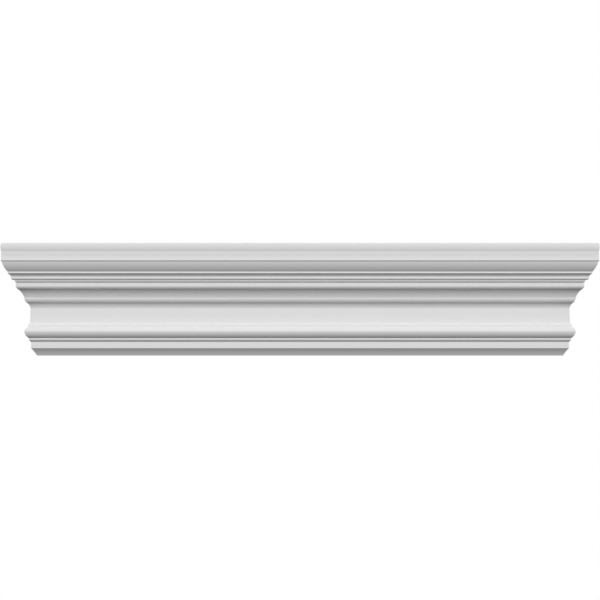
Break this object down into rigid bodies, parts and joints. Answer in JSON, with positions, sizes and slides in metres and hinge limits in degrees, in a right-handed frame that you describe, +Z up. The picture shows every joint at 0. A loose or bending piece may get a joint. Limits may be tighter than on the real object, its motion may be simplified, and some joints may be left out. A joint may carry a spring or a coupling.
{
  "type": "crosshead moulding",
  "caption": "Moulded crosshead that crowns a door or window head, with a stepped cornice, plain frieze and torus band, mitred returned ends and a flat back for the wall.",
  "frame": {"origin": "middle of the flat back, half way up, on the plane of the wall", "axes": "+X along the moulding, to the right of someone who faces it; +Y into the wall; +Z up"},
  "size_m": [1.2156, 0.1143, 0.2286],
  "materials": {
    "white_primer": "smooth white factory primer, satin, over moulded polyurethane foam"
  },
  "bodies": {
    "root": {"crosshead": "white_primer"}
  },
  "joints": []
}
